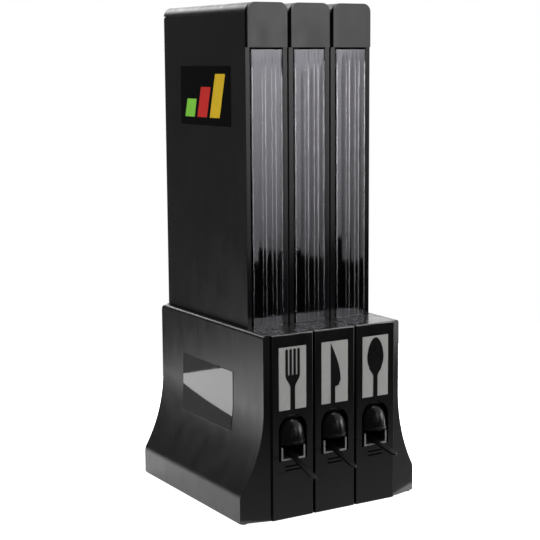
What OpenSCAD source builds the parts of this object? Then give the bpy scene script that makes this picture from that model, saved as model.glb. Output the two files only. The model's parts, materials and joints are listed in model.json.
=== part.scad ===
// Three-column cutlery dispenser with push levers.
// Working frame: x centred, y = 0 at the front covers' faces and growing to the back,
// z = 0 under the housing. place() moves the whole to its origin, the bottom centre of its box.

/* [Columns] */
// Spacing of the fork, knife and spoon columns
pitch = 62; // [61:0.5:66]
// Gap between two neighbouring front covers
cover_gap = 1.6; // [1:0.1:2.4]
// Gap between two neighbouring hoppers
hopper_gap = 2.4; // [2:0.1:3]

/* [Base] */
// Height of the base without its feet
base_h = 232.6; // [230:0.2:245]
// Depth of the housing from the front covers to the back
base_d = 274.8; // [273:0.2:285]
// Width of the ledge of a side cover beside the tower
ledge_w = 8.3; // [7:0.1:12]
// How far the foot stands out past the upper side on each side
flare_w = 30.2; // [24:0.2:34]
// Height at which the side starts to flare
flare_top = 140; // [130:1:160]
// Height of the upright band around the foot
band_h = 34; // [28:1:44]
// Angle at which the front of a side cover sweeps back
wing_sweep = 13.8; // [8:0.1:16]
// Wall of the side covers
side_wall = 2.5; // [2:0.1:3]
// Radius of the side covers' outer top edge
side_round = 4; // [2:0.5:6]
// Radius of the side covers' rear top corner
rear_round = 8; // [4:0.5:12]
// Thickness of the base plate
plate_t = 3; // [2:0.5:4]
// Thickness of the upright partitions
partition_t = 2; // [1.6:0.1:2.2]
// Distance of the partitions' top edge below the top of the base
partition_drop = 10.6; // [6:0.2:30]
// Height of the rubber feet
foot_h = 1.5; // [1:0.1:3]
// Radius of the rubber feet
foot_r = 5; // [3:0.5:6]

/* [Front covers] */
// Wall of the front covers
cover_wall = 2.5; // [2:0.1:3]
// Depth of the front covers' side walls
cover_d = 55.2; // [50:0.2:55.4]
// Radius of the front covers' edges
cover_round = 2.2; // [1:0.1:2.4]
// Distance from the mouth down to the seam between front cover and lower cover
seam_drop = 17.5; // [17.5:0.5:26]
// Width of the arched recess
arch_w = 41; // [41:0.2:42.5]
// How far the arched recess rises over the lever's pivot
arch_rise = 3; // [2.5:0.1:5]
// Width of the two slots under the mouth
slot_w = 22; // [16:1:30]
// Height of a slot
slot_h = 1.8; // [1:0.1:2.2]
// Distance from the mouth down to the upper slot
slot_drop = 10.5; // [9:0.5:11]
// Distance from the upper slot to the lower one
slot_step = 4.9; // [4:0.1:5]
// Width of the label plate
label_w = 39.5; // [32:0.5:46]
// Height of the label plate
label_h = 78.5; // [60:0.5:80]
// Distance from the top of the base to the label plate
label_drop = 16.1; // [12:0.1:17]
// Thickness of the label plate
label_t = 0.7; // [0.5:0.1:1.2]
// Thickness of the symbol on the label plate
symbol_t = 0.3; // [0.2:0.1:0.6]

/* [Lever] */
// Distance of the lever's pivot below the top of the base
pivot_drop = 103.6; // [101.6:0.1:103.6]
// Distance of the pivot from the front covers' faces
pivot_y = 7; // [7:0.1:8]
// Radius of the lever pin
lever_pin_r = 2; // [1.5:0.1:2.2]
// Radius of the lever's hub
hub_r = 4.2; // [3.6:0.1:4.2]
// Outer radius of the dome at its lip
dome_r = 17; // [15:0.2:17.4]
// Distance of the dome's axis from the front covers' faces
dome_y = 10; // [9.5:0.1:11]
// Wall of the dome
dome_wall = 2; // [1.4:0.1:2.6]
// Radius of the lip under the dome
lip_r = 20; // [18:0.2:20.2]
// Thickness of the lip
lip_t = 3.5; // [2.5:0.1:4]
// Distance from the pivot down to the underside of the lip
lip_drop = 33.7; // [32.5:0.1:33.7]
// Height of the drive pin over the pivot
arm_h = 36; // [34:0.5:37]
// Distance of the drive pin behind the pivot
arm_y = 15; // [14:0.5:18]
// Width of the arm
arm_w = 8; // [6:0.5:9]
// Thickness of the arm
arm_t = 6; // [4:0.5:7]
// How far the lever swings in, in degrees
lever_swing = 12; // [8:0.5:12]
// Radius of the return spring's wire
wire_r = 0.5; // [0.3:0.05:0.6]
// Turns of the return spring
spring_turns = 4; // [2:1:4]

/* [Release and chute] */
// Height of the release slide's underside over the lever's pivot
slide_rise = 31; // [29:0.5:32]
// Thickness of the release slide
slide_t = 4; // [3:0.5:5]
// Height of the guide tray's ledges
tray_ledge = 3.7; // [3:0.1:5]
// Height of the guide tray's sides
tray_h = 20; // [18:0.5:22]
// Wall of the guide tray's sides
tray_wall = 5.6; // [4.5:0.1:6]
// Width of the opening between the ledges
drop_w = 40; // [34:1:42]
// Front edge of the drop slot in the release slide
drop_y = 92; // [85:1:100]
// Slope of the chute in degrees
chute_slope = 14; // [10:0.5:14]
// Distance from the lever's pivot down to the chute's floor at its mouth
mouth_drop = 52; // [51.6:0.1:52.2]
// Outer width of the chute
chute_w = 34.6; // [33:0.2:35]
// Wall and floor of the chute
chute_wall = 2.5; // [1.6:0.1:2.8]
// Height of the chute's sides over its underside
chute_h = 17; // [12:0.5:17]
// Length of a piece of cutlery
cutlery_len = 166; // [150:1:185]
// Thickness of a piece of cutlery
cutlery_t = 2.6; // [1.6:0.1:3]
// Width of a cutlery handle
handle_w = 9; // [7:0.5:12]

/* [Tower] */
// Front of the hoppers
tower_y = 57.5; // [57:0.1:60]
// Top of the hoppers' side walls
tower_top = 620; // [560:1:660]
// Wall of the hoppers
hopper_wall = 2.2; // [1.6:0.1:2.4]
// Thickness of the jambs beside the windows
jamb_t = 2.5; // [2:0.1:3.5]
// Width of the window opening
window_w = 46.6; // [40:0.2:48]
// Gap around a window
window_gap = 1; // [0.4:0.1:1.4]
// Thickness of a window
window_t = 1.8; // [1.2:0.1:2.2]
// Distance of a window's ribs from its middle
rib_x = 10.5; // [8:0.5:13]
// Radius of a window's ribs
rib_r = 2.5; // [1.5:0.1:3]
// How far the ribs stand out
rib_out = 1.2; // [0.6:0.1:1.4]
// How far the ribs end from the window's ends
rib_end = 14; // [8:1:40]

/* [Lids] */
// Height of the lids over the hoppers' side walls
lid_h = 11.7; // [11.5:0.1:20]
// Width of a lid's front plate
lid_w = 56.2; // [54:0.2:58]
// Thickness of a lid's front plate
lid_plate_t = 3.6; // [3:0.1:5]
// Height of a lid's front plate
lid_plate_h = 54.2; // [46:0.2:60]
// Radius of the front plate's top corners
lid_round = 10.5; // [8:0.1:11]
// Wall of a lid
lid_wall = 2; // [1.6:0.1:2.2]
// Radius of the lid pin
lid_pin_r = 1.5; // [1.2:0.1:1.8]
// Radius of the lid's knuckles
knuckle_r = 3.6; // [3:0.1:3.7]
// Distance of the lid pin below the hoppers' top
lid_pin_drop = 8; // [8:0.1:10]
// Distance of the lid pin from the hoppers' back
lid_pin_y = 6; // [6:0.1:6.6]

/* [Badge and label] */
// Length of the panel on the tower's side
badge_l = 130.5; // [90:0.5:150]
// Height of the panel on the tower's side
badge_h = 75; // [50:0.5:100]
// Distance of the panel from the tower's front
badge_y = 37; // [20:0.5:50]
// Distance of the panel below the tower's top
badge_drop = 64.5; // [50:0.5:90]
// Length of the label on the base's side
side_label_l = 134; // [100:1:160]
// Height of the label on the base's side
side_label_h = 76; // [50:1:80]
// Distance of that label from the front covers' faces
side_label_y = 79; // [60:1:100]
// Distance of that label below the top of the base
side_label_drop = 57.6; // [50:0.1:80]
// Thickness of panel and label
badge_t = 0.6; // [0.4:0.1:1]

/* [Hidden] */
$fn = 64;
names = ["fork", "knife", "spoon"];
column_parts = ["hopper", "window", "lid", "lid_pin", "front_cover", "lower_cover", "label_plate",
    "symbol", "lever", "lever_pin", "lever_spring", "shuttle", "guide_tray", "chute", "piece"];
housing_parts = ["base_plate", "left_side_cover", "right_side_cover", "rear_cover", "partition_1",
    "partition_2", "partition_3", "partition_4", "tower_badge", "base_label", "feet", "cover_screws"];

// Clearances
loose = 0.3;            // between pieces that don't touch
running = 0.05;         // round a turning pin
tight = 0.02;           // round a pin in its seat
cut = 1;                // how far a cutting body runs past what it cuts

// How far each handle stands out of its mouth, and its own droop
handle_reach = [52, 47, 45];
handle_droop = [17.6, 14.7, 8.1];
// Widths of the fork's head, the knife's blade and the spoon's bowl
head_w = [24, 15, 27];
// Those widths on the symbols, and the symbols' handle width
symbol_head_w = [20.7, 14.7, 25.2];
symbol_handle_w = 6.6;
symbol_margin = 2;

cover_w = pitch - cover_gap;
hopper_hw = (pitch - hopper_gap) / 2;
hopper_in = hopper_hw - hopper_wall;
side_in = 1.5 * pitch;
side_hw = side_in + ledge_w;
foot_hw = side_hw + flare_w;
flare_drop = flare_top - band_h;
flare_r = (flare_drop * flare_drop + flare_w * flare_w) / (2 * flare_w);
wing_y = cover_wall;
back_in = base_d - side_wall;
tower_back = back_in - loose;
ledge_back = tower_y - loose;

partition_top = base_h - partition_drop;
pivot_z = base_h - pivot_drop;
lip_z = pivot_z - lip_drop;
arch_top = pivot_z + arch_rise;
slide_z = pivot_z + slide_rise;
mouth_z = pivot_z - mouth_drop;
slot_z = mouth_z - slot_drop;
seam_h = mouth_z - seam_drop;

tray_hw = (pitch - partition_t) / 2;
tray_z = slide_z - loose - tray_ledge;
tray_top = tray_z + tray_h;
slide_hw = tray_hw - tray_wall - loose;
tray_y0 = cover_d;
tray_y1 = back_in - 4;
tray_end = 4;           // thickness of the guide tray's rear wall
tie_h = 4;              // height and depth of the tie across the tray's front
tie_d = 5;
slide_y1 = tray_y1 - tray_end - 2;
slide_y0 = 64;
slot_end = 6;           // what the drop slot leaves of the release slide
drive_y = pivot_y + arm_y;
drive_z = pivot_z + arm_h;
drive_r = 2;
drive_hw = 8.8;
arm_slot = 10;          // how far behind the drive pin the yoke is open for the arm
drive_slot = 2 * (drive_r + loose);
prong_t = 3;
prong_top = 3.5;        // how far the prongs rise over the drive pin
swing_travel = arm_h * sin(lever_swing) + arm_y * (1 - cos(lever_swing));

mouth_y = -1;
chute_y1 = tower_back - 8;
chute_in = chute_w / 2 - chute_wall;
leg_y = [60, 225];
leg_t = 3;
slope = tan(chute_slope);

window_z0 = base_h + loose;
window_z1 = tower_top + lid_h - lid_plate_h - window_gap;
window_hw = window_w / 2 - window_gap;
window_catch = 3.7;
lid_front = tower_y - loose - lid_plate_t;
lid_top = tower_top + lid_h;
lid_rim = tower_top + loose;
lid_hw = hopper_hw;
lid_axis_y = tower_back - lid_pin_y;
lid_axis_z = tower_top - lid_pin_drop;
knuckle_l = 4;
boss_l = 4;

arch_r = arch_w / 2;
arch_bottom = mouth_z - chute_wall - loose;
ear_t = 3;
ear_x = lip_r + cut + loose;
ear_h = 14;
ear_web = 3;            // what an ear leaves behind the pin
hub_x0 = -(ear_x - loose);
hub_x1 = 13.8;
seat_l = 3.2;           // how far the spring's seat runs past the hub
seat_low = 0.23;        // where the seat starts and ends along the arm
seat_high = 0.38;
cover_leg = 15;         // how far up the spring's leg rests on the cover
dome_z0 = lip_z + lip_t;
dome_z1 = pivot_z - 1.5;
dome_back = 2;          // how far the dome's open back lies behind its axis
label_top = base_h - label_drop;
label_in = 0.1;         // how far the label plate lies behind the cover's face
screw_r = 1.5;
screw_head_r = 3;
screw_head_t = 1.6;
screw_l = 10;
boss_w = 10;
boss_d = 12;
boss_z = [36, tray_z - boss_w];
screw_x = [for (s = [-1, 1]) for (x = [pitch / 2, side_in - boss_w / 2]) s * x];
foot_y = [16.5, 76, 137, 198, 256];
foot_x = foot_hw - side_wall - foot_r;
vent_z = [60, 76, 92, 108, 124];
vent_w = 40;
vent_h = 5;

front_reach = max(handle_reach);
mid_y = (base_d + screw_head_t - front_reach) / 2;

body_black = [0.10, 0.10, 0.105];
lid_grey = [0.16, 0.16, 0.165];
inner_black = [0.07, 0.07, 0.075];
clear_grey = [0.62, 0.63, 0.66, 0.45];
plate_grey = [0.60, 0.60, 0.57];
steel = [0.72, 0.73, 0.75];
rubber_black = [0.04, 0.04, 0.04];

// ---------- helpers ----------

// Moves the working frame to the part's origin
module place() {
    translate([0, -mid_y, foot_h]) children();
}

function column_x(i) = (i - 1) * pitch;

module at_column(i) {
    place() translate([column_x(i), 0, 0]) children();
}

// Extrudes an outline drawn in x and z, from y0 over a length
module along_y(y0, length) {
    translate([0, y0 + length, 0]) rotate([90, 0, 0]) linear_extrude(length) children();
}

// Extrudes an outline drawn in y and z, from x0 over a length
module along_x(x0, length) {
    translate([x0, 0, 0]) rotate([90, 0, 90]) linear_extrude(length) children();
}

// A box from its low corner to its high corner
module block(low, high) {
    translate(low) cube(high - low);
}

// A rod along x
module rod_x(r, x0, x1, y, z) {
    translate([x0, y, z]) rotate([0, 90, 0]) cylinder(r = r, h = x1 - x0);
}

// A rod along y
module rod_y(r, y0, y1, x, z) {
    translate([x, y1, z]) rotate([90, 0, 0]) cylinder(r = r, h = y1 - y0);
}

// A rectangle whose top corners are round
module round_top(hw, z0, z1, r) {
    difference() {
        union() {
            translate([-hw, z0 - r]) square([2 * hw, z1 - z0]);
            translate([-hw + r, z0 - r]) square([2 * (hw - r), z1 - z0 + r]);
            for (s = [-1, 1]) translate([s * (hw - r), z1 - r]) circle(r);
        }
        translate([-hw - cut, z0 - 3 * r]) square([2 * (hw + cut), 3 * r]);
    }
}

// A straight bar between two points, of a given width
module bar(p, q, w) {
    d = (q - p) / norm(q - p);
    n = [-d[1], d[0]] * w / 2;
    polygon([p + n, p - n, q - n, q + n]);
}

// Height of the chute's floor at y
function floor_z(y) = mouth_z + (y - mouth_y) * slope;

// ---------- cutlery outlines, from the handle's end at v = 0 to the tip at v = length ----------

function shoulder(w0, w1, v0, v1, steps = 8) =
    [for (k = [0 : steps]) let (t = k / steps)
        [w0 + (w1 - w0) * (1 - cos(180 * t)) / 2, v0 + (v1 - v0) * t]];

function mirrored(side) = concat(side, [for (k = [len(side) - 1 : -1 : 0]) [-side[k][0], side[k][1]]]);

// Closes one side, from the middle line back to the middle line, into a whole outline
function closed(side) = concat(side, [for (k = [len(side) - 2 : -1 : 1]) [-side[k][0], side[k][1]]]);

// The round end of a handle, from its middle to its right edge
function round_end(w) = [for (k = [0 : 8]) w / 2 * [sin(11.25 * k), 1 - cos(11.25 * k)]];

module handle(length, w) {
    translate([-w / 2, w / 2]) square([w, length - w / 2]);
    translate([0, w / 2]) circle(w / 2);
}

// Four tines on a palm
module fork_outline(length, w, hw) {
    tine_l = w * 1.6;
    palm_l = w * 0.8;
    neck = length - tine_l - palm_l;
    tine_w = w * 0.175;
    gap = (w - 4 * tine_w) / 3;
    handle(neck + cut, hw);
    polygon(mirrored(shoulder(hw / 2, w / 2, neck, neck + palm_l)));
    for (k = [0 : 3]) translate([-w / 2 + k * (tine_w + gap), neck + palm_l - cut]) {
        square([tine_w, tine_l + cut - tine_w / 2]);
        translate([tine_w / 2, tine_l + cut - tine_w / 2]) circle(tine_w / 2);
    }
}

// A blade with a straight back and a bellied edge, in one line with its handle
module knife_outline(length, w, hw) {
    blade_l = w * 3.8;
    heel = length - blade_l;
    back = -w * 0.41;
    end = [for (k = [0 : 16]) [back + hw / 2, hw / 2] - hw / 2 * [cos(11.25 * k), sin(11.25 * k)]];
    edge = [for (k = [0 : 10]) let (t = 1 - k / 10)
        [back + w * sin(90 * t), length - blade_l * 0.86 * t]];
    polygon(concat(end, [[back + hw, heel], [back + w * 0.8, heel + w * 0.1]], edge));
}

// An egg-shaped bowl on a narrow neck
module spoon_outline(length, w, hw) {
    bowl_l = w * 1.75;
    bowl = [for (k = [0 : 15]) let (u = 135 - 9 * k)
        [w / 2 * sin(u) * (1 - 0.16 * cos(u)) / 1.02, length - bowl_l * (1 - cos(u)) / 2]];
    neck = shoulder(hw / 2, bowl[0][0], length - bowl_l - hw, bowl[0][1]);
    side = concat(round_end(hw), neck, [for (k = [1 : 15]) bowl[k]]);
    polygon(closed(side));
}

module outline(i, length, w, hw) {
    if (i == 0) fork_outline(length, w, hw);
    if (i == 1) knife_outline(length, w, hw);
    if (i == 2) spoon_outline(length, w, hw);
}

// ---------- housing ----------

// Outline of the right side in x and z, grown by a margin; a shrunk one runs out of the open sides
module side_outline(grow = 0) {
    past = grow < 0 ? cut : 0;
    x0 = side_in - past;
    difference() {
        union() {
            translate([x0, -past]) square([side_hw + grow - x0, base_h + grow - side_round + past]);
            translate([x0, -past]) square([side_hw - side_round - x0, base_h + grow + past]);
            translate([side_hw - side_round, base_h - side_round]) circle(side_round + grow);
            translate([x0, -past]) square([foot_hw + grow - x0, flare_top + past]);
        }
        translate([side_hw + flare_r, flare_top]) circle(flare_r - grow, $fn = 256);
    }
}

// Side view of the side covers: rear top corner rounded
module side_profile(grow = 0) {
    r = rear_round + grow;
    translate([-cut, -cut]) square([base_d + grow + cut, base_h + grow - r + cut]);
    translate([-cut, -cut]) square([base_d + grow - r + cut, base_h + grow + cut]);
    translate([base_d + grow - r, base_h + grow - r]) circle(r);
}

// Room behind the swept front of the right side cover
module behind_wing(y0) {
    translate([0, 0, -2 * cut]) linear_extrude(base_h + 4 * cut) polygon([
        [side_in - cut, y0 - cut * tan(wing_sweep)],
        [foot_hw + 2 * cut, y0 + (foot_hw + 2 * cut - side_in) * tan(wing_sweep)],
        [foot_hw + 2 * cut, base_d + cut],
        [side_in - cut, base_d + cut]]);
}

module side_body(grow) {
    intersection() {
        along_y(0, base_d + cut) side_outline(grow);
        along_x(side_in - cut, foot_hw + 2 * cut - side_in) side_profile(grow);
        behind_wing(wing_y - grow / cos(wing_sweep));
    }
}

module right_cover_shape() {
    difference() {
        side_body(0);
        side_body(-side_wall);
    }
}

// The base plate in plan, inside the covers
module base_outline() {
    edge = foot_hw - side_wall - loose;
    wing0 = wing_y + side_wall / cos(wing_sweep) + loose;
    wing1 = wing0 + (edge - side_in) * tan(wing_sweep);
    front = cover_wall + loose;
    back = back_in - loose;
    polygon([[-side_in, front], [side_in, front], [side_in, wing0], [edge, wing1], [edge, back],
        [-edge, back], [-edge, wing1], [-side_in, wing0]]);
}

module base_plate() {
    color(inner_black) place() linear_extrude(plate_t) base_outline();
}

module right_side_cover() {
    color(body_black) place() right_cover_shape();
}

module left_side_cover() {
    color(body_black) place() mirror([1, 0, 0]) right_cover_shape();
}

// Closes the base behind the columns, with vents
module rear_cover() {
    hw = side_in - loose;
    color(body_black) place() difference() {
        block([-hw, back_in, 0], [hw, base_d, base_h]);
        for (z = vent_z) for (i = [0 : 2])
            block([column_x(i) - vent_w / 2, back_in - cut, z],
                [column_x(i) + vent_w / 2, base_d + cut, z + vent_h]);
        for (x = screw_x) for (z = boss_z) rod_y(screw_r + loose, back_in - cut, base_d + cut, x, z);
    }
}

// Upright plate between the columns; its bosses take the rear cover's screws
module partition(x, boss_x) {
    color(inner_black) place() difference() {
        union() {
            block([x - partition_t / 2, cover_d, plate_t], [x + partition_t / 2, back_in, partition_top]);
            for (z = boss_z) block([boss_x - boss_w / 2, back_in - boss_d, z - boss_w / 2],
                [boss_x + boss_w / 2, back_in, z + boss_w / 2]);
        }
        for (z = boss_z) rod_y(screw_r + tight, back_in - screw_l, back_in + cut, boss_x, z);
    }
}

module partition_1() {
    partition(-side_in, screw_x[1]);
}

module partition_2() {
    partition(-pitch / 2, screw_x[0]);
}

module partition_3() {
    partition(pitch / 2, screw_x[2]);
}

module partition_4() {
    partition(side_in, screw_x[3]);
}

module cover_screws() {
    color(steel) place() for (x = screw_x) for (z = boss_z) {
        rod_y(screw_r, back_in - screw_l + loose, base_d + screw_head_t / 2, x, z);
        rod_y(screw_head_r, base_d, base_d + screw_head_t, x, z);
    }
}

module feet() {
    color(rubber_black) place() for (s = [-1, 1]) for (y = foot_y)
        translate([s * foot_x, y, -foot_h]) cylinder(r = foot_r, h = foot_h);
}

// Plain panel on the left side of the tower
module tower_badge() {
    y0 = tower_y + badge_y;
    z1 = tower_top - badge_drop;
    color(inner_black) place() along_x(-pitch - hopper_hw - badge_t, badge_t)
        translate([y0 + badge_l / 2, 0]) round_corners(badge_l / 2, z1 - badge_h, z1, 2);
}

// A rectangle with four round corners, centred across
module round_corners(hw, z0, z1, r) {
    translate([-hw, z0 + r]) square([2 * hw, z1 - z0 - 2 * r]);
    translate([-hw + r, z0]) square([2 * (hw - r), z1 - z0]);
    for (s = [-1, 1]) for (z = [z0 + r, z1 - r]) translate([s * (hw - r), z]) circle(r);
}

// Glossy label that follows the left side of the base
module base_label() {
    z1 = base_h - side_label_drop;
    color(plate_grey) place() mirror([1, 0, 0]) intersection() {
        along_y(side_label_y, side_label_l) difference() {
            side_outline(badge_t);
            side_outline(0);
        }
        along_x(side_in, foot_hw) translate([side_label_y + side_label_l / 2, 0])
            round_corners(side_label_l / 2, z1 - side_label_h, z1, 1);
    }
}

// ---------- tower ----------

// Upright channel that holds the stack of cutlery
module hopper() {
    color(body_black) difference() {
        union() {
            difference() {
                block([-hopper_hw, tower_y, tray_top], [hopper_hw, tower_back, tower_top]);
                block([-hopper_in, tower_y + jamb_t, tray_top - cut],
                    [hopper_in, tower_back - hopper_wall, tower_top + cut]);
            }
            for (s = [-1, 1]) rod_x(knuckle_r, s > 0 ? hopper_in - boss_l : -hopper_in - hopper_wall / 2,
                s > 0 ? hopper_in + hopper_wall / 2 : -hopper_in + boss_l, lid_axis_y, lid_axis_z);
        }
        block([-window_w / 2, tower_y - cut, base_h],
            [window_w / 2, tower_y + jamb_t + cut, window_z1 + window_gap]);
        block([-hopper_in, lid_axis_y + knuckle_r, lid_axis_z - lid_pin_y - cut],
            [hopper_in, base_d, tower_top + cut]);
        for (s = [-1, 1]) rod_x(lid_pin_r + tight, s > 0 ? hopper_in - boss_l - cut : -hopper_in,
            s > 0 ? hopper_in : -hopper_in + boss_l + cut, lid_axis_y, lid_axis_z);
        difference() {
            block([-hopper_hw - cut, lid_axis_y, lid_axis_z], [hopper_hw + cut, base_d, tower_top + cut]);
            rod_x(lid_pin_drop, -pitch, pitch, lid_axis_y, lid_axis_z);
        }
    }
}

// Clear ribbed front of a hopper
module window() {
    catch_y = tower_y + jamb_t + loose;
    color(clear_grey) {
        block([-window_hw, tower_y, window_z0], [window_hw, tower_y + window_t, window_z1]);
        for (s = [-1, 1]) {
            block([s > 0 ? window_hw - window_t : -window_hw, tower_y + window_t / 2, window_z0],
                [s > 0 ? window_hw : -window_hw + window_t, catch_y + window_t, window_z1]);
            block([s > 0 ? window_hw - window_t : -window_hw - window_catch, catch_y, window_z0],
                [s > 0 ? window_hw + window_catch : -window_hw + window_t, catch_y + window_t, window_z1]);
            intersection() {
                rib(s * rib_x);
                block([-window_hw, 0, 0], [window_hw, tower_y + window_t, window_z1]);
            }
        }
    }
}

// A half-round rib with round ends
module rib(x) {
    translate([x, tower_y - rib_out + rib_r, window_z0 + rib_end]) {
        cylinder(r = rib_r, h = window_z1 - window_z0 - 2 * rib_end);
        sphere(rib_r);
        translate([0, 0, window_z1 - window_z0 - 2 * rib_end]) sphere(rib_r);
    }
}

// Cap with a hanging front plate, hinged at the back of its hopper
module lid() {
    shell_y = lid_front + lid_plate_t;
    shell_r = lid_round + lid_hw - lid_w / 2;
    color(lid_grey) difference() {
        union() {
            along_y(lid_front, lid_plate_t) round_top(lid_w / 2, lid_top - lid_plate_h, lid_top, lid_round);
            difference() {
                along_y(shell_y, tower_back - shell_y) round_top(lid_hw, lid_rim, lid_top, shell_r);
                along_y(shell_y, tower_back - lid_wall - shell_y)
                    round_top(lid_hw - lid_wall, lid_rim - shell_r, lid_top - lid_wall, shell_r - lid_wall);
            }
            block([-hopper_in + loose, tower_back - lid_wall, lid_axis_z],
                [hopper_in - loose, tower_back, lid_rim + cut]);
            for (s = [-1, 1]) {
                knuckle_x = s > 0 ? hopper_in - boss_l - loose - knuckle_l : -hopper_in + boss_l + loose;
                rod_x(knuckle_r, knuckle_x, knuckle_x + knuckle_l, lid_axis_y, lid_axis_z);
                block([knuckle_x, lid_axis_y, lid_axis_z],
                    [knuckle_x + knuckle_l, tower_back, lid_axis_z + knuckle_r]);
            }
        }
        rod_x(lid_pin_r + running, -pitch, pitch, lid_axis_y, lid_axis_z);
    }
}

module lid_pin() {
    color(steel) rod_x(lid_pin_r, -hopper_in + loose, hopper_in - loose, lid_axis_y, lid_axis_z);
}

// ---------- front ----------

// A front cover in plan: a channel with round front corners
module cover_plan(depth, grow = 0) {
    hw = cover_w / 2 + grow;
    r = cover_round + grow;
    translate([-hw, r - grow]) square([2 * hw, depth - r + grow]);
    translate([-hw + r, -grow]) square([2 * (hw - r), depth + grow]);
    for (s = [-1, 1]) translate([s * (hw - r), r - grow]) circle(r);
}

// Face with the arched recess, the label pocket and the ledge that reaches the tower
module front_cover() {
    color(body_black) difference() {
        union() {
            difference() {
                intersection() {
                    translate([0, 0, seam_h + loose]) linear_extrude(base_h - seam_h - loose)
                        cover_plan(ledge_back);
                    along_x(-pitch, 2 * pitch) cover_profile();
                }
                block([-cover_w / 2 + cover_wall, cover_wall, 0],
                    [cover_w / 2 - cover_wall, base_d, base_h - cover_wall]);
                block([-pitch, cover_d, 0], [pitch, base_d, base_h - cover_wall]);
            }
            for (s = [-1, 1]) block([s > 0 ? ear_x : -ear_x - ear_t, cover_wall - tight, pivot_z - ear_h / 2],
                [s > 0 ? ear_x + ear_t : -ear_x, pivot_y + lever_pin_r + ear_web, pivot_z + ear_h / 2]);
        }
        along_y(-cut, cover_wall + cut) arch();
        for (z = [slot_z, slot_z - slot_step])
            block([-slot_w / 2, -cut, z - slot_h / 2], [slot_w / 2, cover_wall + cut, z + slot_h / 2]);
        block([-label_w / 2 - loose, -cut, label_top - label_h - loose],
            [label_w / 2 + loose, label_t + label_in, label_top + loose]);
        rod_x(lever_pin_r + tight, -ear_x - ear_t - cut, ear_x + ear_t + cut, pivot_y, pivot_z);
    }
}

// Side view of the front cover: top front edge rounded
module cover_profile() {
    translate([0, 0]) square([base_d, base_h - cover_round]);
    translate([cover_round, 0]) square([base_d, base_h]);
    translate([cover_round, base_h - cover_round]) circle(cover_round);
}

// The recess's outline: a round arch on straight sides
module arch() {
    translate([-arch_r, arch_bottom]) square([2 * arch_r, arch_top - arch_r - arch_bottom]);
    translate([0, arch_top - arch_r]) circle(arch_r);
}

// Plain foot of a column, standing on the base plate
module lower_cover() {
    color(body_black) difference() {
        linear_extrude(seam_h) cover_plan(cover_d);
        block([-cover_w / 2 + cover_wall, cover_wall, -cut], [cover_w / 2 - cover_wall, base_d, base_h]);
        block([-pitch, cover_wall, -cut], [pitch, base_d, plate_t]);
    }
}

module label_plate() {
    color(plate_grey) block([-label_w / 2, label_in, label_top - label_h],
        [label_w / 2, label_in + label_t, label_top]);
}

module symbol(i) {
    length = label_h - symbol_margin;
    color(inner_black) along_y(label_in - symbol_t, symbol_t) translate([0, label_top - label_h])
        intersection() {
            translate([0, -symbol_handle_w])
                outline(i, length + symbol_handle_w, symbol_head_w[i], symbol_handle_w);
            translate([-label_w / 2, 0]) square([label_w, label_h]);
        }
}

// ---------- lever and release ----------

function quarter(r, h) = [for (k = [0 : 12]) [r * cos(7.5 * k), h * sin(7.5 * k)]];

// Hollow dome with a lip, on a hub, with an arm that drives the release slide
module lever() {
    dome_h = dome_z1 - dome_z0;
    open_y = dome_y + dome_back;
    color(inner_black) difference() {
        union() {
            intersection() {
                translate([0, dome_y, dome_z0]) difference() {
                    rotate_extrude() polygon(concat([[0, 0]], quarter(dome_r, dome_h)));
                    translate([0, 0, -cut]) rotate_extrude()
                        polygon(concat([[0, 0]], quarter(dome_r - dome_wall, dome_h - dome_wall + cut)));
                }
                block([-pitch, -pitch, 0], [pitch, open_y, base_h]);
            }
            intersection() {
                translate([0, dome_y, lip_z]) difference() {
                    cylinder(r = lip_r, h = lip_t);
                    translate([0, 0, -cut]) cylinder(r = dome_r - dome_wall, h = lip_t + 2 * cut);
                }
                block([-pitch, -pitch, 0], [pitch, open_y, base_h]);
            }
            rod_x(hub_r, hub_x0, hub_x1, pivot_y, pivot_z);
            along_x(-arm_w / 2, arm_w) bar([pivot_y, pivot_z], [drive_y, drive_z], arm_t);
            along_x(0, hub_x1 + seat_l) bar(spring_seat(seat_low), spring_seat(seat_high), arm_t);
            rod_x(drive_r, -drive_hw, drive_hw, drive_y, drive_z);
        }
        rod_x(lever_pin_r + running, -pitch, pitch, pivot_y, pivot_z);
    }
}

// A point on the arm's middle line, at a share of the way from the pivot to the drive pin
function spring_seat(share) = [pivot_y, pivot_z] + [arm_y, arm_h] * share;

module lever_pin() {
    color(steel) rod_x(lever_pin_r, -ear_x - ear_t, ear_x + ear_t, pivot_y, pivot_z);
}

// The return spring's middle line: a leg on the cover, turns round the pin, a leg on the arm
spring_r = lever_pin_r + 2 * wire_r + loose;
spring_x0 = hub_x1 + loose + 2 * wire_r;
spring_x1 = ear_x - loose - 2 * wire_r;
arm_len = norm([arm_y, arm_h]);
seat_mid = (spring_seat(seat_low) + spring_seat(seat_high)) / 2;
seat_touch = seat_mid + [-arm_h, arm_y] / arm_len * (arm_t / 2 + wire_r + loose);
cover_touch = [cover_wall + wire_r + loose, pivot_z + cover_leg];
spring_steps = 8 * spring_turns;
spring_path = concat(
    [[spring_x1, cover_touch[0], cover_touch[1]]],
    [for (k = [0 : spring_steps]) let (a = 360 * k / 8)
        [spring_x1 + (spring_x0 - spring_x1) * k / spring_steps,
         pivot_y - spring_r * cos(a), pivot_z - spring_r * sin(a)]],
    [[spring_x0, seat_touch[0], seat_touch[1]]]);

// Direction of a path at its point k
function heading(path, k) =
    let (a = path[max(k - 1, 0)], b = path[min(k + 1, len(path) - 1)]) (b - a) / norm(b - a);

// One ring of six points round point k, square to the path
function ring(path, k, r) =
    let (t = heading(path, k), u0 = [1, 0, 0] - t * t[0], u = u0 / norm(u0), v = cross(t, u))
    [for (j = [0 : 5]) path[k] + r * (cos(60 * j) * u + sin(60 * j) * v)];

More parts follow.
